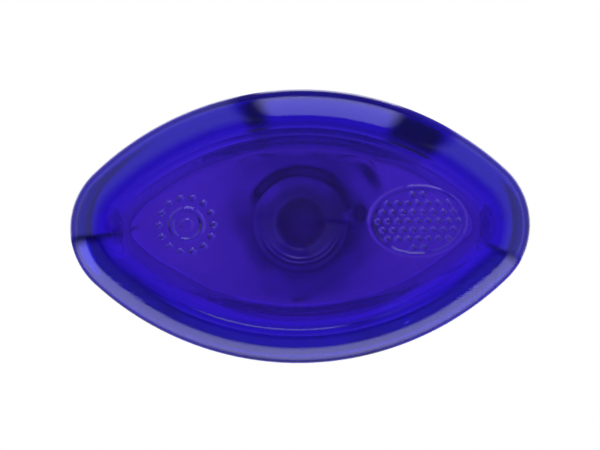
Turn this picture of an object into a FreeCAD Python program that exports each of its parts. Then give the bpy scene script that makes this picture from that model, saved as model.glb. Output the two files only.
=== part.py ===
# Swing top bottle: a blue moulded PET bottle whose section is a pointed oval
# (two wide arcs closed by two small tip arcs), with a wire swing closure on a round neck.
# Frame: +Z up the bottle, origin at the centre of the base on the resting plane.
# X runs along the long axis of the oval, -Y is the front, where the lever lies when shut.
# All sizes in millimetres.
import FreeCAD, Part
import math
import os

V = FreeCAD.Vector

# ---------------------------------------------------------------- bottle
HALF_LEN = 46.0          # half length of the oval section
HALF_WID = 27.4          # half width of the oval section
TIP_R = 15.1             # radius of the two tip arcs
HEEL_R = 5.4             # rounding between the wall and the resting ring
WALL = 2.0               # heavy wall of the body
FLOOR_T = 3.0            # thickness of the base
BODY_TOP = 116.0         # end of the straight wall
SHOULDER_TOP = 160.0     # start of the round neck
NECK_R = 13.2            # outside of the neck
BORE_R = 10.8            # inside of the neck
RIM_Z = 222.0            # top of the mouth
RING_IN = 7.0            # inner edge of the resting ring, inset from the wall
PANEL_IN = 8.4           # edge of the raised base panel, inset from the wall
PANEL_Z = 1.4            # height of the base panel above the resting plane
DIMPLE_R0, DIMPLE_R1, DIMPLE_Z = 9.4, 5.3, 2.4   # centre dimple of the base
LIP_R, LIP_Z0 = 14.2, 215.5
SUPPORT_R, SUPPORT_Z0, SUPPORT_Z1 = 15.2, 190.0, 192.4
BEAD_R, BEAD_Z0, BEAD_Z1 = 14.4, 179.6, 182.0
GROOVE_R = 12.9          # seat of the neck band, between the bead and the support ring

# ---------------------------------------------------------------- closure
WIRE_R = 1.25            # lever and bail wire
RUN = 0.06               # running clearance of a wire in its eye or bush
EYE_R = 1.35             # the wire swells a little round the eye
PIVOT_Z = 186.0          # lever pivot on the neck band
ARM = 9.5                # lever pivot to bail eye
OVER = 8.0               # degrees the eye sits past dead centre when shut
LEVER_X = 17.0           # plane of the lever's legs
BAIL_X = 20.0            # plane of the bail's legs
BAIL_END = 15.0          # inner end of the hooks in the lever eyes
LEVER_BAR_Z = 147.0      # thumb bar when shut
LEVER_BAR_Y = -19.0
LEVER_FRONT_Y = -15.6    # the legs run down in front of the neck
PIN_Z = 231.6            # bail bar through the stopper head
BAND_IN, BAND_T = 12.95, 0.75
BAND_Z0, BAND_Z1 = 182.3, 189.7
BUSH_R, BUSH_FLANGE_R, BUSH_OUT = 2.1, 3.1, 14.9
EAR_Y, EAR_GAP, EAR_T = 19.6, 1.6, 0.75
SCREW_R, SCREW_Y = 1.25, 16.9
GASKET_GAP = 0.3         # the seal's lip over the rim
GASKET_R, GASKET_T, GASKET_HOLE = 13.0, 3.4, 6.4
HEAD_R = 13.4
HEAD_TOP = 240.2

os.makedirs("parts", exist_ok=True)


def oval(z, a, b, t):
    """Closed wire of four tangent arcs: half length a, half width b, tip radius t."""
    if abs(a - b) < 1e-6:
        u = a * math.sqrt(0.5)
        p = [V(u, u, z), V(-u, u, z), V(-u, -u, z), V(u, -u, z)]
        m = [V(0, a, z), V(-a, 0, z), V(0, -a, z), V(a, 0, z)]
    else:
        big = ((a - t) ** 2 + b * b - t * t) / (2 * (b - t))
        cx, cy = a - t, big - b
        d = math.hypot(cx, cy)
        jx, jy = cx + t * cx / d, t * cy / d
        p = [V(jx, jy, z), V(-jx, jy, z), V(-jx, -jy, z), V(jx, -jy, z)]
        m = [V(0, b, z), V(-a, 0, z), V(0, -b, z), V(a, 0, z)]
    return Part.Wire([Part.Arc(p[i], m[i], p[(i + 1) % 4]).toShape() for i in range(4)])


def inset(z, e):
    return oval(z, HALF_LEN - e, HALF_WID - e, TIP_R - e)


def prism(z0, z1, e):
    return Part.Face(inset(z0, e)).extrude(V(0, 0, z1 - z0))


def heel(solid, z, r):
    edges = [e for e in solid.Edges if all(abs(v.Z - z) < 1e-6 for v in e.Vertexes)]
    return solid.makeFillet(r, edges)


def ease(s):
    """Vertical at both ends, fuller near the body than near the neck."""
    s = s ** 0.94
    return s * s * s * (s * (6 * s - 15) + 10) * 0.45 + s * s * (3 - 2 * s) * 0.55


def shoulder(wall_body, wall_neck, extra=0.0):
    wires, n = [], 12
    for i in range(n + 1):
        s = i / n
        w = ease(s)
        wall = wall_body + (wall_neck - wall_body) * w
        z = BODY_TOP + (SHOULDER_TOP - BODY_TOP) * s
        if i == n:
            wires.append(oval(z, NECK_R - wall, NECK_R - wall, 0))
        else:
            wires.append(
                oval(
                    z,
                    HALF_LEN + (NECK_R - HALF_LEN) * w - wall,
                    HALF_WID + (NECK_R - HALF_WID) * w - wall,
                    TIP_R + (NECK_R - TIP_R) * w - wall,
                )
            )
    return Part.makeLoft(wires, True, False)


def turned(points):
    """Solid of revolution about Z from (r, z) points; a point may carry an arc's mid point."""
    edges, here = [], None
    for p in points:
        q = V(p[0], 0, p[1])
        if here is not None and (q - here).Length > 1e-9:
            if len(p) == 4:
                edges.append(Part.Arc(here, V(p[2], 0, p[3]), q).toShape())
            else:
                edges.append(Part.LineSegment(here, q).toShape())
        here = q
    first = V(points[0][0], 0, points[0][1])
    if (here - first).Length > 1e-9:
        edges.append(Part.LineSegment(here, first).toShape())
    return Part.Face(Part.Wire(edges)).revolve(V(0, 0, 0), V(0, 0, 1), 360)


def route(points, radii):
    """Wire of straight runs joined by tangent arcs, radii for the inner points."""
    pts = [V(*p) for p in points]
    edges, here = [], pts[0]
    for i in range(1, len(pts) - 1):
        a, p, b = pts[i - 1], pts[i], pts[i + 1]
        u, v = (a - p).normalize(), (b - p).normalize()
        ang = math.acos(max(-1, min(1, u.dot(v))))
        t = radii[i - 1] / math.tan(ang / 2)
        s, e = p + u * t, p + v * t
        bis = (u + v).normalize()
        mid = p + bis * (radii[i - 1] / math.sin(ang / 2) - radii[i - 1])
        if (s - here).Length > 1e-7:
            edges.append(Part.LineSegment(here, s).toShape())
        edges.append(Part.Arc(s, mid, e).toShape())
        here = e
    edges.append(Part.LineSegment(here, pts[-1]).toShape())
    return Part.Wire(edges)


def wire(points, radii, r=WIRE_R):
    path = route(points, radii)
    d = V(*points[1]) - V(*points[0])
    ring = Part.Wire([Part.makeCircle(r, V(*points[0]), d)])
    pipe = path.makePipeShell([ring], True, False)
    return pipe


def rod(p, q, r):
    p, q = V(*p), V(*q)
    return Part.makeCylinder(r, (q - p).Length, p, q - p)


def save(name, shape):
    shape = shape.removeSplitter() if len(shape.Solids) == 1 else shape
    ok = shape.isValid() and all(s.Volume > 0 for s in shape.Solids)
    print(name, "solids", len(shape.Solids), "valid", ok, "volume", round(shape.Volume, 1),
          "box", [round(x, 2) for x in (shape.BoundBox.XMin, shape.BoundBox.XMax, shape.BoundBox.YMin,
                                        shape.BoundBox.YMax, shape.BoundBox.ZMin, shape.BoundBox.ZMax)])
    if len(shape.Solids) == 1:
        shape = shape.Solids[0]
    shape.exportStep("parts/" + name + ".step")
    return shape


# ---------------------------------------------------------------- bottle body
outer = heel(prism(0, BODY_TOP, 0), 0, HEEL_R)
outer = outer.fuse(shoulder(0, 0))
neck_out = turned([
    (0, SHOULDER_TOP), (NECK_R, SHOULDER_TOP), (NECK_R, BEAD_Z0 - 0.8), (BEAD_R, BEAD_Z0),
    (BEAD_R, BEAD_Z1), (GROOVE_R, BEAD_Z1), (GROOVE_R, SUPPORT_Z0), (SUPPORT_R, SUPPORT_Z0),
    (SUPPORT_R, SUPPORT_Z1), (NECK_R, SUPPORT_Z1 + 1.0), (NECK_R, LIP_Z0 - 1.2), (LIP_R, LIP_Z0),
    (LIP_R, RIM_Z - 1.8), (LIP_R - 1.8, RIM_Z, LIP_R - 1.8 + 1.8 * math.cos(math.radians(45)), RIM_Z - 1.8 + 1.8 * math.sin(math.radians(45))),
    (0, RIM_Z),
])
outer = outer.fuse(neck_out)
# raised panel and dimple under the base
panel = Part.makeLoft([inset(0, RING_IN), inset(PANEL_Z, PANEL_IN)], True, True)
dimple = turned([(0, 0), (DIMPLE_R0, 0), (DIMPLE_R0, PANEL_Z), (DIMPLE_R1, DIMPLE_Z), (0, DIMPLE_Z)])
outer = outer.cut(panel).cut(dimple)
# hollow
cavity = heel(prism(FLOOR_T, BODY_TOP, WALL), FLOOR_T, HEEL_R - WALL)
island = Part.makeLoft([inset(FLOOR_T - 0.5, RING_IN - 0.8), inset(PANEL_Z + FLOOR_T, PANEL_IN + 0.6)], True, True)
peak = turned([(0, FLOOR_T), (DIMPLE_R0 + 1.4, FLOOR_T), (DIMPLE_R0 + 1.4, PANEL_Z + FLOOR_T),
               (DIMPLE_R1 + 1.4, DIMPLE_Z + FLOOR_T), (0, DIMPLE_Z + FLOOR_T)])
cavity = cavity.cut(island).cut(peak)
cavity = cavity.fuse(shoulder(WALL, NECK_R - BORE_R))
bore = turned([(0, SHOULDER_TOP), (BORE_R, SHOULDER_TOP), (BORE_R, RIM_Z - 0.9),
               (BORE_R + 0.9, RIM_Z, BORE_R + 0.9 - 0.9 * math.cos(math.radians(45)), RIM_Z - 0.9 + 0.9 * math.sin(math.radians(45))),
               (BORE_R + 0.9, RIM_Z + 1), (0, RIM_Z + 1)])
cavity = cavity.fuse(bore)
print("capacity ml", round(cavity.Volume / 1000, 1))
bottle = save("bottle_body", outer.cut(cavity))

# ---------------------------------------------------------------- neck band, bushes, clamp screw
bz, bh = BAND_Z0, BAND_Z1 - BAND_Z0
ring = Part.makeCylinder(BAND_IN + BAND_T, bh, V(0, 0, bz)).cut(Part.makeCylinder(BAND_IN, bh, V(0, 0, bz)))
ear = EAR_GAP / 2
ears = Part.makeBox(2 * (ear + EAR_T), EAR_Y - BAND_IN, bh, V(-(ear + EAR_T), BAND_IN, bz))
ears = ears.cut(Part.makeCylinder(BAND_IN, bh, V(0, 0, bz)))
band = ring.fuse(ears)
band = band.cut(Part.makeBox(EAR_GAP, EAR_Y, bh, V(-ear, BAND_IN - 3, bz)))
corner = [e for e in band.Edges if len(e.Vertexes) == 2
          and all(abs(v.Y - EAR_Y) < 1e-6 for v in e.Vertexes)
          and abs(e.Vertexes[0].Z - e.Vertexes[1].Z) < 1e-6]
round_z = [Part.makeBox(8, 3.0, 3.0, V(-4, EAR_Y - 3.0, z)) for z in (bz, bz + bh - 3.0)]
for k, zc in enumerate((bz + 3.0, bz + bh - 3.0)):
    block = round_z[k].cut(Part.makeCylinder(3.0, 8, V(-4, EAR_Y - 3.0, zc), V(1, 0, 0)))
    band = band.cut(block)
band = band.cut(rod((-30, 0, PIVOT_Z), (30, 0, PIVOT_Z), BUSH_R))
band = band.cut(rod((-6, SCREW_Y, PIVOT_Z), (6, SCREW_Y, PIVOT_Z), SCREW_R + 0.05))
save("neck_band", band)

seat = Part.makeCylinder(BAND_IN + BAND_T, bh + 4, V(0, 0, bz - 2))
under = Part.makeCylinder(BAND_IN, bh + 4, V(0, 0, bz - 2))
for side, name in ((1, "pivot_bush_right"), (-1, "pivot_bush_left")):
    flange = rod((side * 11, 0, PIVOT_Z), (side * 14.4, 0, PIVOT_Z), BUSH_FLANGE_R).cut(seat)
    nose = rod((side * 14.0, 0, PIVOT_Z), (side * BUSH_OUT, 0, PIVOT_Z), 2.5)
    tube = rod((side * 11, 0, PIVOT_Z), (side * 14.4, 0, PIVOT_Z), BUSH_R).cut(under)
    bush = flange.fuse(nose).fuse(tube).cut(rod((side * 11, 0, PIVOT_Z), (side * 16, 0, PIVOT_Z), WIRE_R + RUN))
    save(name, bush)

ex = ear + EAR_T
head = rod((ex, SCREW_Y, PIVOT_Z), (ex + 1.5, SCREW_Y, PIVOT_Z), 2.4)
head = head.cut(Part.makeBox(1.0, 6, 0.7, V(ex + 0.8, SCREW_Y - 3, PIVOT_Z - 0.35)))
screw = head.fuse(rod((ex + 0.2, SCREW_Y, PIVOT_Z), (-ex - 2.6, SCREW_Y, PIVOT_Z), SCREW_R))
save("band_screw", screw)
flats = 2.5
hexp = [V(-ex, SCREW_Y + flats / math.cos(math.pi / 6) * math.cos(math.radians(60 * i)),
          PIVOT_Z + flats / math.cos(math.pi / 6) * math.sin(math.radians(60 * i))) for i in range(7)]
nut = Part.Face(Part.makePolygon(hexp)).extrude(V(-1.9, 0, 0))
nut = nut.cut(rod((0, SCREW_Y, PIVOT_Z), (-8, SCREW_Y, PIVOT_Z), SCREW_R))
save("band_nut", nut)

# ---------------------------------------------------------------- lever wire
eye_y = ARM * math.sin(math.radians(OVER))
eye_z = PIVOT_Z - ARM * math.cos(math.radians(OVER))
eye_r = WIRE_R + RUN + EYE_R             # centreline of the eye
print("eye", round(eye_y, 4), round(eye_z, 4))
up_y, up_z = -eye_y / ARM, (PIVOT_Z - eye_z) / ARM
knee_y, knee_z = LEVER_FRONT_Y, eye_z - 3.4
k = math.hypot(knee_y - eye_y, knee_z - eye_z)
fwd_y, fwd_z = (knee_y - eye_y) / k, (knee_z - eye_z) / k


def lever_half(s):
    x = s * LEVER_X
    arm = wire([(s * 13.3, 0, PIVOT_Z), (x, 0, PIVOT_Z),
                (x, eye_y + eye_r * up_y, eye_z + eye_r * up_z)], [1.9])
    eye = Part.makeTorus(eye_r, EYE_R, V(x, eye_y, eye_z), V(1, 0, 0))
    return arm.fuse(eye)


leg_y, leg_z = eye_y + eye_r * fwd_y, eye_z + eye_r * fwd_z
loop = wire(
    [(LEVER_X, leg_y, leg_z), (LEVER_X, knee_y, knee_z), (LEVER_X, LEVER_BAR_Y, LEVER_BAR_Z),
     (-LEVER_X, LEVER_BAR_Y, LEVER_BAR_Z), (-LEVER_X, knee_y, knee_z), (-LEVER_X, leg_y, leg_z)],
    [7.0, 8.0, 8.0, 7.0])
lever = loop.fuse(lever_half(1)).fuse(lever_half(-1))
# the eye stays open for the bail's end
lever = lever.cut(rod((-30, eye_y, eye_z), (30, eye_y, eye_z), WIRE_R + RUN))
save("lever_wire", lever)

# ---------------------------------------------------------------- bail wire
bail = wire(
    [(BAIL_END, eye_y, eye_z), (BAIL_X, eye_y, eye_z), (BAIL_X, 0, PIN_Z), (-BAIL_X, 0, PIN_Z),
     (-BAIL_X, eye_y, eye_z), (-BAIL_END, eye_y, eye_z)], [1.7, 6.0, 6.0, 1.7])
save("bail_wire", bail)

# ---------------------------------------------------------------- stopper
g0 = RIM_Z + GASKET_GAP
g1 = g0 + GASKET_T
gasket = turned([
    (GASKET_HOLE, g1), (GASKET_R - 0.5, g1), (GASKET_R, g1 - 0.5, GASKET_R - 0.15, g1 - 0.15),
    (GASKET_R, g0 + 0.8), (GASKET_R - 0.8, g0, GASKET_R - 0.23, g0 + 0.23),
    (9.9, g0), (9.2, g0 - 2.6), (8.6, g0 - 3.0), (GASKET_HOLE, g0 - 3.0)])
save("stopper_gasket", gasket)
core = turned([
    (0, g0 - 5.4), (6.6, g0 - 5.4), (7.8, g0 - 4.4, 7.45, g0 - 5.05), (7.8, g0 - 3.0), (GASKET_HOLE, g0 - 3.0),
    (GASKET_HOLE, g1), (4.2, g1), (4.2, g1 + 3.4), (0, g1 + 3.4)])
save("stopper_core", core)
stop = turned([
    (4.2, g1), (HEAD_R - 0.6, g1), (HEAD_R, g1 + 0.6, HEAD_R - 0.18, g1 + 0.18), (HEAD_R, g1 + 2.6),
    (HEAD_R - 1.6, g1 + 4.2, HEAD_R - 0.47, g1 + 3.73), (11.2, g1 + 5.6), (11.2, PIN_Z + 2.4),
    (7.0, HEAD_TOP - 0.6, 10.2, PIN_Z + 6.4), (0, HEAD_TOP), (0, g1 + 3.4), (4.2, g1 + 3.4)])
stop = stop.cut(rod((-20, 0, PIN_Z), (20, 0, PIN_Z), WIRE_R + RUN))
save("stopper_head", stop)
print("pivot", PIVOT_Z, "pin", PIN_Z, "bail length", round(math.hypot(eye_y, PIN_Z - eye_z), 3))
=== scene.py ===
import math

import bpy
import numpy as np
from mathutils import Matrix, Vector


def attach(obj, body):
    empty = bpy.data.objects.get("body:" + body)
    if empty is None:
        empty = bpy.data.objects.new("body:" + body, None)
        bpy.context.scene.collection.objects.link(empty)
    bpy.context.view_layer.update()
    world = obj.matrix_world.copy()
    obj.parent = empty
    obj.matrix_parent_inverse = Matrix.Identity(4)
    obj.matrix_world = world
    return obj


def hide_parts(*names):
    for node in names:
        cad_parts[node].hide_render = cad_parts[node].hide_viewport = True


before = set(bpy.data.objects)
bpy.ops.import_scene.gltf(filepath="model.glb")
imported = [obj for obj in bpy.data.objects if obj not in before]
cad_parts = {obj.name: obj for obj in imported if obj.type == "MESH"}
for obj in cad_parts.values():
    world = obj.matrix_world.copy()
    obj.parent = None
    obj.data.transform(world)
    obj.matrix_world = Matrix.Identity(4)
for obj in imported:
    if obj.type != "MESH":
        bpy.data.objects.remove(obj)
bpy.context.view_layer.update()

scene = bpy.context.scene
MM = 0.001

# ------------------------------------------------------------------ camera: up at the base from below
DIST, TILT, YAW, ROLL = 0.50, math.radians(0.3), math.radians(0.6), math.radians(-0.72)
cam_data = bpy.data.cameras.new("camera")
cam = bpy.data.objects.new("camera", cam_data)
scene.collection.objects.link(cam)
scene.camera = cam
cam_data.sensor_width = 36.0
cam_data.lens = 36.0 * DIST / (0.0920 * 600 / 460) * 1.0083
cam_data.clip_start, cam_data.clip_end = 0.01, 30.0
# picture right is +X, picture up is -Y
back = Vector((math.sin(YAW), -math.sin(TILT), -math.cos(TILT))).normalized()
right0 = Vector((0, -1, 0)).cross(back).normalized()
up0 = back.cross(right0)
right = math.cos(ROLL) * right0 + math.sin(ROLL) * up0
up = math.cos(ROLL) * up0 - math.sin(ROLL) * right0
aim = Vector((0.00006, -0.00030, 0.001))
place = aim + back * DIST
cam.matrix_world = Matrix((
    (right.x, up.x, back.x, place.x),
    (right.y, up.y, back.y, place.y),
    (right.z, up.z, back.z, place.z),
    (0, 0, 0, 1)))

# ------------------------------------------------------------------ bottle, in millimetres
A, B, T = 45.97, 27.37, 15.1
WALL = 2.0
BODY_TOP, SHOULDER_TOP = 116.0, 160.0
NECK, BORE, RIM = 13.2, 10.8, 222.0
N = 512


def oval_of(a, b, t):
    big = ((a - t) ** 2 + b * b - t * t) / (2 * (b - t))
    return a - t, big - b, big, t


def oval_points(a, b, t, psi):
    """Points of the four-arc oval whose outward normal points along psi."""
    c, s = np.cos(psi), np.sin(psi)
    if b - t < 1e-4:
        return np.stack([a * c, a * s], 1)
    cx, cy, big, t = oval_of(a, b, t)
    q = np.arctan2(np.abs(s), np.abs(c))
    tip = q <= math.atan2(cy, cx)
    x = np.where(tip, cx + t * np.cos(q), big * np.cos(q))
    y = np.where(tip, t * np.sin(q), big * np.sin(q) - cy)
    return np.stack([x * np.sign(c + 1e-15), y * np.sign(s + 1e-15)], 1)


def inset_of(x, y):
    """How far a point lies inside the base outline."""
    cx, cy, big, t = oval_of(A, B, T)
    ax, ay = np.abs(x), np.abs(y)
    tip = np.arctan2(ay, np.maximum(ax - cx, 1e-9)) <= math.atan2(cy, cx)
    tip &= ax > cx
    return np.where(tip, t - np.hypot(ax - cx, ay), big - np.hypot(ax, ay + cy))


dense = np.linspace(0, 2 * math.pi, 20001)
pts = oval_points(A - 5, B - 5, T - 5, dense)
arc = np.concatenate([[0], np.cumsum(np.hypot(*np.diff(pts, axis=0).T))])
arc = 0.72 * arc / arc[-1] + 0.28 * dense / (2 * math.pi)
PSI = np.interp(np.arange(N) / N, arc, dense)
NRM = np.stack([np.cos(PSI), np.sin(PSI)], 1)


def smooth(a, b, x):
    u = np.clip((x - a) / (b - a), 0, 1)
    return u * u * (3 - 2 * u)


def bell(x, w):
    return np.exp(-(x / w) ** 2)


def pill(x, y, x0, y0, x1, y1, r):
    """1 inside a rounded bar from one point to the other, soft at its edge."""
    dx, dy = x1 - x0, y1 - y0
    u = np.clip(((x - x0) * dx + (y - y0) * dy) / max(dx * dx + dy * dy, 1e-9), 0, 1)
    d = np.hypot(x - x0 - u * dx, y - y0 - u * dy)
    return 1 - smooth(r - 0.18, r + 0.22, d)


def relief(x, y):
    """Plain moulded marks of the base: a ring of dots on one side, an oval of stipple on the other."""
    m = np.zeros_like(x)
    for k in range(14):
        f = 2 * math.pi * k / 14
        cx, cy = -22.4 + 5.4 * math.cos(f), -0.6 + 5.4 * math.sin(f)
        m = np.maximum(m, pill(x, y, cx, cy, cx + 1e-3, cy, 0.5))
    d = np.hypot(x + 22.4, y + 0.6)
    m = np.maximum(m, 0.9 * (1 - smooth(0.22, 0.62, np.abs(d - 3.1))))
    m = np.maximum(m, 0.6 * (1 - smooth(0.9, 1.5, d)))
    for j in range(-3, 4):
        for k in range(-4, 5):
            cx = 23.4 + 2.0 * (k + 0.5 * (j % 2))
            cy = -0.8 + 1.75 * j
            if ((cx - 23.4) / 8.2) ** 2 + ((cy + 0.8) / 5.6) ** 2 < 1:
                m = np.maximum(m, pill(x, y, cx, cy, cx + 1e-3, cy, 0.48))
    d = np.hypot((x - 23.4) / 9.2, (y + 0.8) / 6.7)
    m = np.maximum(m, 0.6 * (1 - smooth(0.03, 0.085, np.abs(d - 1))))
    return m


# slope of the dimple in degrees by distance from its middle
DIMPLE_R = np.array([0.0, 2.0, 4.5, 4.9, 5.2, 5.6, 6.6, 7.6, 8.8, 10.5])
DIMPLE_S = np.array([0.0, 0.8, 2.2, 3.2, 5.0, 3.6, 3.2, 2.8, 1.4, 0.0])
dimple_at = np.linspace(0, 10.5, 421)
dimple_fall = np.cumsum(np.tan(np.radians(np.interp(dimple_at, DIMPLE_R, DIMPLE_S)))) * 0.025


def dome(x, y):
    """Rise of the base towards its middle."""
    return 0.5 * (1 - smooth(0.0, 1.0, np.hypot(x / 38.0, y / 19.4)))


def base_height(x, y, marks=True):
    e = inset_of(x, y)
    ax = np.abs(x)
    near = smooth(-6.0, 6.0, y)
    fade = 1 - smooth(22 - 7 * near, 40 - 7 * near, ax)
    z = fade * (0.15 * smooth(5.9, 12.5, e) + 0.04 * smooth(7.3, 8.6, e)) + 0.11 * smooth(5.94, 12.5, e)
    z = z + fade * near * (0.085 * bell(e - 5.6, 0.30) + 0.06 * bell(e - 7.2, 0.35))
    z = z + fade * (1 - near) * (0.05 * bell(e - 7.8, 0.35) + 0.05 * bell(e - 9.3, 0.30))
    z = z + dome(x, y)
    r = np.hypot(x - 0.2, y + 0.72)
    z = z + dimple_fall[-1] - np.interp(r, dimple_at, dimple_fall)
    z = z - 0.018 * (bell(r - 7.2, 0.24) + bell(r - 8.1, 0.24)) * smooth(1.5, 5.0, y) - 0.010 * bell(r - 9.4, 0.4)
    if marks:
        z = z - 0.15 * relief(x, y) - 0.14 * (1 - smooth(0.10, 0.60, np.hypot(x - 20.8, y - 18.9)))
    return z


def ring(xy, z):
    out = np.empty((N, 3))
    out[:, :2] = xy
    out[:, 2] = z
    return out


# heel width and height; inset, top and bottom of the foot's ellipse; where it is cut; slope below; floor
HEEL_E, HEEL_Z = 5.94, 4.80
FOOT_E, FOOT_TOP, FOOT_LOW = 13.07, 11.42, 4.12
FOOT_CUT, FLOOR_Z = math.radians(19.57), 4.20


def inset_points(e):
    """Points of the outline moved in by e, with the outline's own normals."""
    c, q = np.cos(PSI), np.arctan2(np.abs(NRM[:, 1]), np.abs(NRM[:, 0]))
    cx, cy, big, t = oval_of(A, B, T)
    tip = q <= math.atan2(cy, cx)
    x = np.where(tip, cx + (t - e) * np.cos(q), (big - e) * np.cos(q))
    y = np.where(tip, (t - e) * np.sin(q), (big - e) * np.sin(q) - cy)
    return np.stack([x * np.sign(NRM[:, 0] + 1e-15), y * np.sign(NRM[:, 1] + 1e-15)], 1)


rings = []
# base, from the centre outwards
edge_xy = oval_points(A - 9.6, B - 9.6, T - 9.6, PSI)
edge_r = np.hypot(*edge_xy.T)
direction = edge_xy / edge_r[:, None]
for rr in np.concatenate([[0.06], np.linspace(0.5, 10.9, 48)]):
    xy = direction * rr
    rings.append(ring(xy, base_height(xy[:, 0], xy[:, 1])))
for s in np.linspace(0, 1, 141)[1:]:
    xy = direction * (10.9 + (edge_r - 10.9) * s)[:, None]
    rings.append(ring(xy, base_height(xy[:, 0], xy[:, 1])))
for s in np.linspace(0, 1, 44)[1:]:
    xy = inset_points(9.6 + (HEEL_E - 9.6) * s)
    rings.append(ring(xy, base_height(xy[:, 0], xy[:, 1])))
# heel
for f in np.linspace(0, math.pi / 2, 40)[1:]:
    e = HEEL_E * (1 - math.sin(f))
    xy = inset_points(e)
    rings.append(ring(xy, base_height(xy[:, 0], xy[:, 1]) * smooth(0, 1, e) + HEEL_Z * (1 - math.cos(f))))
heel_end = len(rings)
# wall
for z in np.linspace(7.0, BODY_TOP, 26):
    rings.append(ring(oval_points(A, B, T, PSI), z))


def ease(s):
    s = s ** 0.94
    return s * s * s * (s * (6 * s - 15) + 10) * 0.45 + s * s * (3 - 2 * s) * 0.55


def shoulder_ring(s, thick0, thick1):
    w = ease(s)
    k = thick0 + (thick1 - thick0) * w
    a, b, t = (v + (NECK - v) * w - k for v in (A, B, T))
    return ring(oval_points(a, b, t, PSI), BODY_TOP + (SHOULDER_TOP - BODY_TOP) * s)


for s in np.linspace(0, 1, 49)[1:]:
    rings.append(shoulder_ring(s, 0, 0))


def fillets(points, n=5):
    """(r, z, radius) corners to a rounded polyline."""
    out = [points[0][:2]]
    for (ar, az, _), (pr, pz, rad), (br, bz, _) in zip(points, points[1:], points[2:]):
        a, p, b = np.array([ar, az]), np.array([pr, pz]), np.array([br, bz])
        u, v = (a - p) / np.linalg.norm(a - p), (b - p) / np.linalg.norm(b - p)
        ang = math.acos(np.clip(u @ v, -1, 1))
        t = rad / math.tan(ang / 2)
        c = p + (u + v) / np.linalg.norm(u + v) * rad / math.sin(ang / 2)
        s, e = p + u * t, p + v * t
        for k in range(n + 1):
            q = s + (e - s) * k / n
            d = (q - c) / np.linalg.norm(q - c)
            out.append(tuple(c + d * rad))
    out.append(points[-1][:2])
    return out


neck_line = fillets([
    (NECK, 160.0, 0), (NECK, 178.8, 0.6), (14.4, 179.6, 0.5), (14.4, 182.0, 0.35), (12.9, 182.0, 0.3),
    (12.9, 190.0, 0.3), (15.2, 190.0, 0.45), (15.2, 192.4, 0.5), (NECK, 193.4, 0.9), (NECK, 214.3, 0.8),
    (14.2, 215.5, 0.7), (14.2, 222.0, 1.75), (11.7, 222.0, 0.6), (BORE, 221.1, 0.5), (BORE, 160.0, 0)])
for r0, z0 in neck_line[1:-1]:
    rings.append(ring(NRM * r0, z0))
# inside, from the mouth down
for z in np.linspace(212, 161, 8):
    rings.append(ring(NRM * BORE, z))
for s in np.linspace(1, 0, 41):
    rings.append(shoulder_ring(s, WALL, NECK - BORE))


def wavy(x, y):
    """Slow unevenness of the inside, which the mould does not shape."""
    w = np.sin(0.21 * x + 0.33 * y + 0.6) * np.sin(0.17 * x - 0.29 * y + 1.9)
    w = w + 0.7 * np.sin(0.39 * x - 0.12 * y + 2.2) * np.sin(0.08 * x + 0.41 * y + 0.4)
    return w + 0.35 * np.sin(0.83 * x + 0.31 * y) * np.sin(0.22 * x - 0.71 * y + 1.0)


for z in np.linspace(BODY_TOP, 14.0, 14)[1:]:
    rings.append(ring(oval_points(A - WALL, B - WALL, T - WALL, PSI), z))
# the foot: an ellipse from the wall, then an easy run out to the floor
for u in np.linspace(1, 0, 40):
    f = FOOT_CUT + (math.pi / 2 - FOOT_CUT) * u
    rings.append(ring(inset_points(FOOT_E - (FOOT_E - WALL) * math.sin(f)), FOOT_LOW + (FOOT_TOP - FOOT_LOW) * (1 - math.cos(f))))
cut_e = FOOT_E - (FOOT_E - WALL) * math.sin(FOOT_CUT)
cut_z = FOOT_LOW + (FOOT_TOP - FOOT_LOW) * (1 - math.cos(FOOT_CUT))
RUN = 2 * (cut_z - FLOOR_Z) * (FOOT_E - WALL) / ((FOOT_TOP - FOOT_LOW) * math.tan(FOOT_CUT))

# uneven places of the blown floor: where, size across and along, tilt towards the middle
TILTS = ((-7.2, -8.0, 1.5, 2.8, 0.13), (1.5, -11.0, 1.4, 6.0, 0.12), (14.5, -9.8, 2.4, 3.6, 0.11), (12.2, -2.4, 2.0, 1.5, 0.15))


def round_dimple(x, y, x0, y0):
    """Distances outwards and round the dimple from a place on the floor."""
    x, y, x0, y0 = x - 0.2, y + 0.72, x0 - 0.2, y0 + 0.72
    n = math.hypot(x0, y0)
    turn = (np.arctan2(y, x) - math.atan2(y0, x0) + math.pi) % (2 * math.pi) - math.pi
    return np.hypot(x, y) - n, turn * n


def inner_height(x, y):
    """Height of the inner floor."""
    e = inset_of(x, y)
    r = np.hypot(x, y)
    z = FLOOR_Z + (cut_z - FLOOR_Z) * np.clip(1 - (e - cut_e) / RUN, 0.0, 1.0) ** 2
    z = z + dome(x, y)
    for x0, y0, across, along, tilt in TILTS:
        u, v = round_dimple(x, y, x0, y0)
        z = z - tilt * u * bell(u, across) * bell(v, along)
    return z + 0.045 * wavy(x, y) * smooth(9.5, 13.5, e) * smooth(6.0, 12.0, r)


flat_from = len(rings)
last_e = 11.5
for u in np.linspace(0, 1, 16)[1:]:
    xy = inset_points(cut_e + (last_e - cut_e) * u)
    rings.append(ring(xy, inner_height(*xy.T)))
in_edge = xy
for s in np.linspace(1, 0, 90)[1:]:
    xy = in_edge * max(s, 0.002)
    rings.append(ring(xy, inner_height(*xy.T)))

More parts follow.
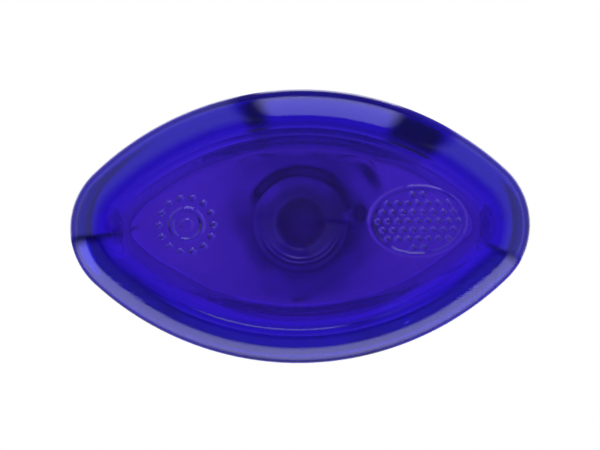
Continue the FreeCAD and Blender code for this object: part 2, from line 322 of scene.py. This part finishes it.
R = len(rings)
verts = np.concatenate(rings) * MM
i = np.arange(N)
j = (i + 1) % N
quads = np.concatenate([np.stack([k * N + i, k * N + j, (k + 1) * N + j, (k + 1) * N + i], 1) for k in range(R - 1)])
mesh = bpy.data.meshes.new("bottle_shell")
first, last = len(verts), len(verts) + 1
verts = np.concatenate([verts, [verts[:N].mean(0), verts[-N:].mean(0)]])
faces = quads.tolist()
faces += [(first, int(b), int(a)) for a, b in zip(i, j)]
base_k = (R - 1) * N
faces += [(last, int(base_k + a), int(base_k + b)) for a, b in zip(i, j)]
mesh.from_pydata(verts.tolist(), [], faces)
mesh.update()
mesh.polygons.foreach_set("use_smooth", np.ones(len(mesh.polygons), bool))
haze = np.zeros(len(verts))
haze[(flat_from + 15) * N:] = 1.0
for k in range(12):
    haze[(flat_from + 15 + k) * N:(flat_from + 16 + k) * N] = k / 12
for x0, y0, across, along, tilt in TILTS:
    u, v = round_dimple(verts[:, 0] / MM, verts[:, 1] / MM, x0, y0)
    haze *= 1 - 0.2 * bell(u, 1.3 * across) * bell(v, 1.2 * along)
mesh.attributes.new("haze", "FLOAT", "POINT").data.foreach_set("value", haze)
# two rubbed patches on the heel: middle, direction along the edge, length and width
scuff = np.zeros(len(verts))
for x0, y0, dx, dy, along, across in ((-32.4, 12.4, 0.80, 0.60, 6.0, 1.5), (33.6, 11.6, 0.78, -0.62, 5.5, 1.5)):
    px, py = verts[:, 0] / MM - x0, verts[:, 1] / MM - y0
    scuff += bell(px * dx + py * dy, along) * bell(py * dx - px * dy, across)
scuff[heel_end * N:] = 0
mesh.attributes.new("scuff", "FLOAT", "POINT").data.foreach_set("value", scuff)
bottle = bpy.data.objects.new("bottle_shell", mesh)
scene.collection.objects.link(bottle)
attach(bottle, "bottle")
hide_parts("bottle_body")

# ------------------------------------------------------------------ materials


def material(name):
    m = bpy.data.materials.new(name)
    m.use_nodes = True
    nt = m.node_tree
    nt.nodes.clear()
    out = nt.nodes.new("ShaderNodeOutputMaterial")
    p = nt.nodes.new("ShaderNodeBsdfPrincipled")
    nt.links.new(p.outputs[0], out.inputs[0])
    return m, nt, p, out


HAZE = 0.22
pet, nt, p, out = material("blue_pet_mould")
p.inputs["Base Color"].default_value = (1, 1, 1, 1)
p.inputs["IOR"].default_value = 1.57
p.inputs["Transmission Weight"].default_value = 1.0
att = nt.nodes.new("ShaderNodeAttribute")
att.attribute_name = "haze"
rg = nt.nodes.new("ShaderNodeMapRange")
rg.inputs["To Min"].default_value = 0.015
rg.inputs["To Max"].default_value = HAZE
nt.links.new(att.outputs["Fac"], rg.inputs["Value"])
nt.links.new(rg.outputs["Result"], p.inputs["Roughness"])
vol = nt.nodes.new("ShaderNodeVolumeAbsorption")
vol.inputs["Color"].default_value = (0.389, 0.111, 0.878, 1)
vol.inputs["Density"].default_value = 830.0
nt.links.new(vol.outputs[0], out.inputs["Volume"])
# fine strokes where the heel is rubbed
tc = nt.nodes.new("ShaderNodeTexCoord")
mp = nt.nodes.new("ShaderNodeMapping")
mp.inputs["Rotation"].default_value = (0, 0, math.radians(-24))
mp.inputs["Scale"].default_value = (0.35, 1.0, 1.0)
nt.links.new(tc.outputs["Object"], mp.inputs["Vector"])
noise = nt.nodes.new("ShaderNodeTexNoise")
noise.inputs["Scale"].default_value, noise.inputs["Detail"].default_value = 1300.0, 2.0
nt.links.new(mp.outputs["Vector"], noise.inputs["Vector"])
rub = nt.nodes.new("ShaderNodeAttribute")
rub.attribute_name = "scuff"
height = nt.nodes.new("ShaderNodeMath")
height.operation = "MULTIPLY"
nt.links.new(noise.outputs["Fac"], height.inputs[0])
nt.links.new(rub.outputs["Fac"], height.inputs[1])
bump = nt.nodes.new("ShaderNodeBump")
bump.inputs["Strength"].default_value, bump.inputs["Distance"].default_value = 1.0, 0.00009
nt.links.new(height.outputs[0], bump.inputs["Height"])
nt.links.new(bump.outputs["Normal"], p.inputs["Normal"])
bottle.data.materials.append(pet)

# ------------------------------------------------------------------ finishes of the closure
def node(nt, kind, **values):
    n = nt.nodes.new(kind)
    for key, v in values.items():
        n.inputs[key.replace("_", " ")].default_value = v
    return n


def grain(nt, scale, stretch=(1, 1, 1), detail=3.0, rough=0.55):
    """Noise in the part's own coordinates, drawn out along the axes by stretch."""
    tc = nt.nodes.new("ShaderNodeTexCoord")
    mp = nt.nodes.new("ShaderNodeMapping")
    mp.inputs["Scale"].default_value = stretch
    nt.links.new(tc.outputs["Object"], mp.inputs["Vector"])
    n = node(nt, "ShaderNodeTexNoise", Scale=scale, Detail=detail, Roughness=rough)
    nt.links.new(mp.outputs["Vector"], n.inputs["Vector"])
    return n.outputs["Fac"]


def span(nt, value, lo, hi, a, b):
    n = node(nt, "ShaderNodeMapRange", From_Min=lo, From_Max=hi, To_Min=a, To_Max=b)
    nt.links.new(value, n.inputs["Value"])
    return n.outputs["Result"]


def tint(nt, value, stops):
    n = nt.nodes.new("ShaderNodeValToRGB")
    ramp = n.color_ramp
    while len(ramp.elements) < len(stops):
        ramp.elements.new(0.5)
    for e, (at, colour) in zip(ramp.elements, stops):
        e.position, e.color = at, (*colour, 1)
    nt.links.new(value, n.inputs["Fac"])
    return n.outputs["Color"]


def add(nt, a, b, wa, wb):
    out = []
    for v, w in ((a, wa), (b, wb)):
        n = nt.nodes.new("ShaderNodeMath")
        n.operation = "MULTIPLY"
        nt.links.new(v, n.inputs[0])
        n.inputs[1].default_value = w
        out.append(n.outputs[0])
    n = nt.nodes.new("ShaderNodeMath")
    n.operation = "ADD"
    nt.links.new(out[0], n.inputs[0])
    nt.links.new(out[1], n.inputs[1])
    return n.outputs[0]


def finish_of(name, stops, look, rough, relief, metallic=0.0, coat=0.0):
    """look, rough and relief each give a noise from the node tree, with its range and depth."""
    m, nt, p, out = material(name)
    p.inputs["Metallic"].default_value = metallic
    p.inputs["Coat Weight"].default_value = coat
    p.inputs["Coat Roughness"].default_value = 0.06
    nt.links.new(tint(nt, look(nt), stops), p.inputs["Base Color"])
    make, a, b = rough
    nt.links.new(span(nt, make(nt), 0.3, 0.7, a, b), p.inputs["Roughness"])
    make, strength, depth = relief
    bump = node(nt, "ShaderNodeBump", Strength=strength, Distance=depth)
    nt.links.new(make(nt), bump.inputs["Height"])
    nt.links.new(bump.outputs["Normal"], p.inputs["Normal"])
    return m


# rolled strap: fine lines round the neck, a few darker rubbed patches
strap = finish_of(
    "rolled_steel",
    [(0.25, (0.36, 0.36, 0.355)), (0.5, (0.55, 0.55, 0.54)), (0.8, (0.68, 0.68, 0.67))],
    lambda nt: add(nt, grain(nt, 90, (1, 1, 14), 4), grain(nt, 160, (1, 1, 1), 3), 0.6, 0.4),
    (lambda nt: add(nt, grain(nt, 60, (1, 1, 22), 4), grain(nt, 220), 0.6, 0.4), 0.20, 0.46),
    (lambda nt: grain(nt, 120, (1, 1, 26), 3), 0.35, 0.00012), metallic=1.0)
# small turned and drawn steel: closer lines, a little darker in the tool marks
bush_steel = finish_of(
    "turned_steel",
    [(0.25, (0.33, 0.33, 0.33)), (0.6, (0.52, 0.52, 0.51)), (0.85, (0.62, 0.62, 0.61))],
    lambda nt: add(nt, grain(nt, 300, (16, 1, 1), 3), grain(nt, 420), 0.5, 0.5),
    (lambda nt: grain(nt, 380, (18, 1, 1), 3), 0.18, 0.40),
    (lambda nt: grain(nt, 420, (20, 1, 1), 2), 0.35, 0.00008), metallic=1.0)
# bright drawn wire: streaks along the legs, duller freckles
wire = finish_of(
    "drawn_wire",
    [(0.2, (0.40, 0.40, 0.395)), (0.5, (0.62, 0.62, 0.61)), (0.8, (0.74, 0.74, 0.73))],
    lambda nt: add(nt, grain(nt, 700, (1, 1, 0.05), 3), grain(nt, 130, (1, 1, 1), 4), 0.5, 0.5),
    (lambda nt: add(nt, grain(nt, 800, (1, 1, 0.05), 3), grain(nt, 240), 0.5, 0.5), 0.12, 0.36),
    (lambda nt: grain(nt, 900, (1, 1, 0.06), 2), 0.25, 0.00006), metallic=1.0)
# glazed porcelain: warm white, slow tone changes, a slightly rippled glaze and rare iron specks
porcelain = finish_of(
    "glazed_porcelain",
    [(0.18, (0.42, 0.36, 0.29)), (0.235, (0.76, 0.735, 0.68)), (0.45, (0.81, 0.795, 0.755)), (0.75, (0.86, 0.855, 0.83))],
    lambda nt: add(nt, grain(nt, 1500, (1, 1, 1), 0, 0.3), grain(nt, 70, (1, 1, 1), 4), 0.55, 0.45),
    (lambda nt: grain(nt, 180, (1, 1, 1), 3), 0.06, 0.15),
    (lambda nt: grain(nt, 260, (1, 1, 1), 2), 0.12, 0.00012), coat=0.5)
# moulded core: cooler, duller white with flow marks
core = finish_of(
    "moulded_white",
    [(0.3, (0.70, 0.70, 0.68)), (0.55, (0.79, 0.79, 0.77)), (0.8, (0.84, 0.84, 0.82))],
    lambda nt: add(nt, grain(nt, 150, (1, 1, 5), 3), grain(nt, 600), 0.6, 0.4),
    (lambda nt: grain(nt, 500, (1, 1, 3), 3), 0.34, 0.50),
    (lambda nt: grain(nt, 1400, (1, 1, 1), 2), 0.25, 0.00006))
# red rubber: matt, with bloom and a fine tooth
rubber = finish_of(
    "red_rubber",
    [(0.25, (0.26, 0.022, 0.014)), (0.5, (0.40, 0.038, 0.022)), (0.78, (0.52, 0.085, 0.060))],
    lambda nt: add(nt, grain(nt, 220, (1, 1, 1), 5), grain(nt, 1600, (1, 1, 1), 2), 0.65, 0.35),
    (lambda nt: grain(nt, 700, (1, 1, 1), 4), 0.48, 0.72),
    (lambda nt: grain(nt, 2600, (1, 1, 1), 2), 0.30, 0.00007))
for names, m in ((("neck_band",), strap), (("band_screw", "band_nut", "pivot_bush_left", "pivot_bush_right"), bush_steel),
                 (("lever_wire", "bail_wire"), wire), (("stopper_head",), porcelain),
                 (("stopper_core",), core), (("stopper_gasket",), rubber)):
    for name in names:
        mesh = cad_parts[name].data
        if mesh.materials:
            for k in range(len(mesh.materials)):
                mesh.materials[k] = m
        else:
            mesh.materials.append(m)

# ------------------------------------------------------------------ stage: a pale floor that runs out into the white
size = 12.0
fm = bpy.data.meshes.new("floor")
fm.from_pydata([(-size, -size, 0), (size, -size, 0), (size, size, 0), (-size, size, 0)], [], [(0, 1, 2, 3)])
floor = bpy.data.objects.new("floor", fm)
scene.collection.objects.link(floor)
floor.location.z = -0.0002
m, nt, p, out = material("floor_pale")
p.inputs["Roughness"].default_value = 0.6
p.inputs["Emission Color"].default_value = (1, 1, 1, 1)
geo = nt.nodes.new("ShaderNodeNewGeometry")
far = nt.nodes.new("ShaderNodeVectorMath")
far.operation = "LENGTH"
nt.links.new(geo.outputs["Position"], far.inputs[0])
run = nt.nodes.new("ShaderNodeMapRange")
run.interpolation_type = "SMOOTHSTEP"
run.inputs["From Min"].default_value, run.inputs["From Max"].default_value = 0.35, 3.0
nt.links.new(far.outputs["Value"], run.inputs["Value"])
nt.links.new(tint(nt, run.outputs["Result"], [(0.0, (0.8, 0.8, 0.8)), (1.0, (0.0, 0.0, 0.0))]), p.inputs["Base Color"])
nt.links.new(span(nt, run.outputs["Result"], 0.0, 1.0, 0.58, 1.0), p.inputs["Emission Strength"])
# the floor hides nothing from below
path = nt.nodes.new("ShaderNodeLightPath")
top = nt.nodes.new("ShaderNodeMath")
top.operation = "MAXIMUM"
nt.links.new(geo.outputs["Backfacing"], top.inputs[0])
nt.links.new(path.outputs["Transparent Depth"], top.inputs[1])
lim = nt.nodes.new("ShaderNodeMath")
lim.operation = "MINIMUM"
lim.inputs[1].default_value = 1.0
nt.links.new(top.outputs[0], lim.inputs[0])
clear = nt.nodes.new("ShaderNodeBsdfTransparent")
mix = nt.nodes.new("ShaderNodeMixShader")
nt.links.new(lim.outputs[0], mix.inputs[0])
nt.links.new(p.outputs[0], mix.inputs[1])
nt.links.new(clear.outputs[0], mix.inputs[2])
nt.links.new(mix.outputs[0], out.inputs[0])
fm.materials.append(m)

# ------------------------------------------------------------------ studio light: a white ceiling and soft boxes at the sides
world = bpy.data.worlds.new("studio")
scene.world = world
world.use_nodes = True
nt = world.node_tree
nt.nodes.clear()
wout = nt.nodes.new("ShaderNodeOutputWorld")
bg = nt.nodes.new("ShaderNodeBackground")
nt.links.new(bg.outputs[0], wout.inputs[0])
tc = nt.nodes.new("ShaderNodeTexCoord")
sep = nt.nodes.new("ShaderNodeSeparateXYZ")
nt.links.new(tc.outputs["Generated"], sep.inputs[0])


def link(value, socket):
    if isinstance(value, (int, float)):
        socket.default_value = value
    else:
        nt.links.new(value, socket)


def op(kind, *values):
    n = nt.nodes.new("ShaderNodeMath")
    n.operation = kind
    for v, sock in zip(values, n.inputs):
        link(v, sock)
    return n.outputs[0]


def step(value, lo, hi, a=0.0, b=1.0):
    n = nt.nodes.new("ShaderNodeMapRange")
    n.interpolation_type = "SMOOTHSTEP"
    link(value, n.inputs["Value"])
    for key, v in (("From Min", lo), ("From Max", hi), ("To Min", a), ("To Max", b)):
        n.inputs[key].default_value = v
    return n.outputs["Result"]


theta = op("MULTIPLY", op("ARCCOSINE", sep.outputs["Z"]), 180 / math.pi)
flat = op("SQRT", op("MAXIMUM", op("SUBTRACT", 1.0, op("MULTIPLY", sep.outputs["Z"], sep.outputs["Z"])), 1e-6))


azimuth = op("MULTIPLY", op("ARCTAN2", op("MULTIPLY", sep.outputs["Y"], -1.0), sep.outputs["X"]), 180 / math.pi)
azimuth = op("MODULO", op("ADD", azimuth, 720.0 - 20.0), 360.0)


def sector(first, last, soft_first, soft_last):
    """1 between two azimuths, in degrees from picture right towards picture top."""
    a, b = (first - 20) % 360, (last - 20) % 360
    up = step(azimuth, a - soft_first, a + soft_first)
    down = step(azimuth, b - soft_last, b + soft_last, 1.0, 0.0)
    return op("MULTIPLY", up, down) if a < b else op("MAXIMUM", up, down)


def lamp(points):
    """Light by angle from overhead: pairs of degrees and power, straight between them."""
    n = nt.nodes.new("ShaderNodeValToRGB")
    ramp = n.color_ramp
    ramp.interpolation = "LINEAR"
    while len(ramp.elements) < len(points):
        ramp.elements.new(0.5)
    for e, (at, power) in zip(ramp.elements, points):
        e.position = at / 180
        e.color = (power / 5, power / 5, power / 5, 1)
    link(op("DIVIDE", theta, 180.0), n.inputs["Fac"])
    return op("MULTIPLY", n.outputs["Color"], 5.0)


# a ceiling, a pale surround, a soft box behind between two dark flags, a long soft box in front
light = step(theta, 5, 22, 0.8, 0.0)
below = step(theta, 5, 22)
surround = ((0, 1.3), (38, 1.3), (50, 0.3), (75, 0.4), (92, 0.9), (105, 0.6), (150, 0.6), (176, 0.1), (180, 0.1))
back_box = ((0, 0.6), (20, 0.6), (28, 1.8), (40, 1.8), (55, 0.1), (88, 0.1), (100, 2.2), (165, 1.5), (170, 0.1), (180, 0.1))
front_box = ((0, 1.5), (18, 1.5), (30, 0.4), (60, 0.2), (80, 1.8), (100, 2.4), (126, 2.4), (136, 0.2), (160, 0.2), (180, 0.1))
flag = ((0, 0.7), (15, 0.7), (22, 0.1), (180, 0.1))
for where, points in (
        (sector(334, 56.5, 3, 2), surround), (sector(104.5, 186, 2, 3), surround),
        (sector(56.5, 69, 2, 2), flag), (sector(99, 104.5, 2, 2), flag),
        (sector(69, 99, 2, 2), back_box), (sector(192, 330, 6, 6), front_box)):
    light = op("ADD", light, op("MULTIPLY", below, op("MULTIPLY", where, lamp(points))))
path = nt.nodes.new("ShaderNodeLightPath")
seen = op("ADD", op("MULTIPLY", path.outputs["Is Camera Ray"], 1.0), op("MULTIPLY", op("SUBTRACT", 1.0, path.outputs["Is Camera Ray"]), light))
nt.links.new(seen, bg.inputs["Strength"])
bg.inputs["Color"].default_value = (1, 1, 1, 1)

scene.view_settings.view_transform = "Standard"
scene.cycles.max_bounces = 24
scene.cycles.transmission_bounces = 20
scene.cycles.glossy_bounces = 12
scene.cycles.transparent_max_bounces = 24
scene.cycles.caustics_reflective = True
scene.cycles.caustics_refractive = True
